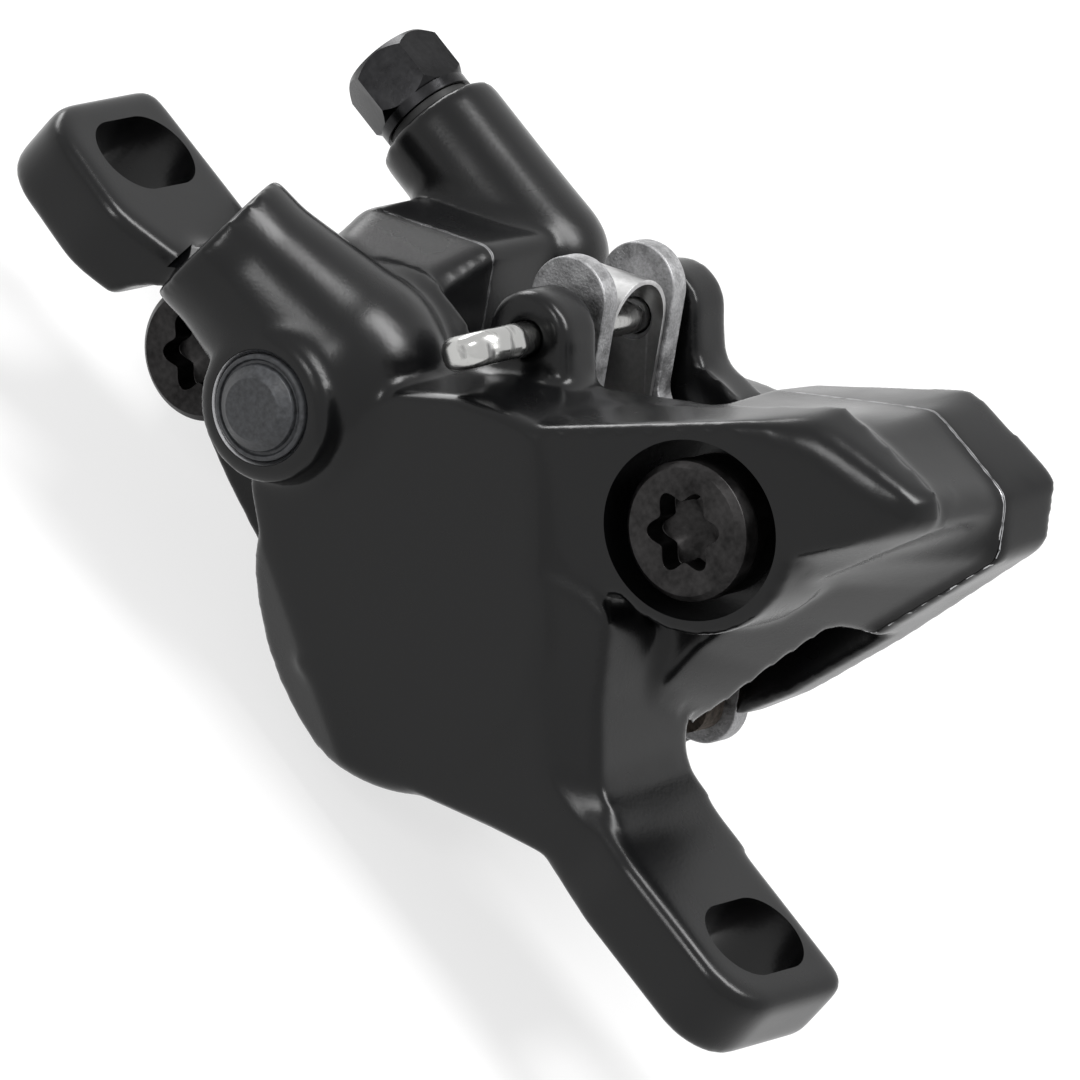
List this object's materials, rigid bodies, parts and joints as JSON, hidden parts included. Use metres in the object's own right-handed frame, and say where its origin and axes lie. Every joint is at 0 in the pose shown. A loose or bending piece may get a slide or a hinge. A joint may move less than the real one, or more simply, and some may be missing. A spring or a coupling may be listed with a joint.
{
  "type": "hydraulic disc brake caliper",
  "caption": "Two-piece hydraulic disc brake caliper for a bicycle, with slotted mounting ears, opposed pistons and sprung pads on a pin.",
  "frame": {"origin": "midway between the two mounting slots, level with the mounting faces, in the plane the brake disc turns in", "axes": "+X towards the lower ear along the row of the slots, +Y along the pistons from the front housing to the rear housing, +Z away from the frame the caliper is bolted to"},
  "size_m": [0.0854, 0.0404, 0.0506],
  "materials": {
    "housing": "satin",
    "bolt": "satin",
    "plug": "matte",
    "seal": "matte",
    "piston": "gloss",
    "pad_plate": "matte",
    "lining": "matte",
    "spring": "satin",
    "pin": "polished",
    "bleed_screw": "satin"
  },
  "bodies": {
    "caliper": {"front_housing": "housing", "rear_housing": "housing", "body_bolt_upper": "bolt", "body_bolt_lower": "bolt", "passage_plug": "plug", "passage_plug_ring": "seal", "crossover_seal": "seal", "piston_seal_front": "seal", "piston_seal_rear": "seal", "pad_spring": "spring", "pad_pin": "pin", "bleed_seal": "seal"},
    "front_piston": {"piston_front": "piston"},
    "rear_piston": {"piston_rear": "piston"},
    "front_pad": {"pad_front_plate": "pad_plate", "pad_front_lining": "lining"},
    "rear_pad": {"pad_rear_plate": "pad_plate", "pad_rear_lining": "lining"},
    "bleed": {"bleed_screw": "bleed_screw"}
  },
  "joints": [
    {"name": "front_piston_slide", "type": "slide", "parent": "caliper", "child": "front_piston", "axis": [0, 1, 0], "range_m": [-0.0009, 0.0012]},
    {"name": "rear_piston_slide", "type": "slide", "parent": "caliper", "child": "rear_piston", "axis": [0, -1, 0], "range_m": [-0.0009, 0.0012]},
    {"name": "front_pad_slide", "type": "slide", "parent": "caliper", "child": "front_pad", "axis": [0, 1, 0], "range_m": [-0.0009, 0.0012], "deforming": ["pad_spring"]},
    {"name": "rear_pad_slide", "type": "slide", "parent": "caliper", "child": "rear_pad", "axis": [0, -1, 0], "range_m": [-0.0009, 0.0012]},
    {"name": "bleed_turn", "type": "hinge", "parent": "caliper", "child": "bleed", "pos_m": [-0.0303, 0.0112, 0.0133], "axis": [1, 0, 0], "range_deg": [0, 120]}
  ],
  "couplings": [
    {"joint": "rear_piston_slide", "follows": "front_piston_slide", "ratio": 1},
    {"joint": "front_pad_slide", "follows": "front_piston_slide", "ratio": 1},
    {"joint": "rear_pad_slide", "follows": "front_piston_slide", "ratio": 1}
  ]
}
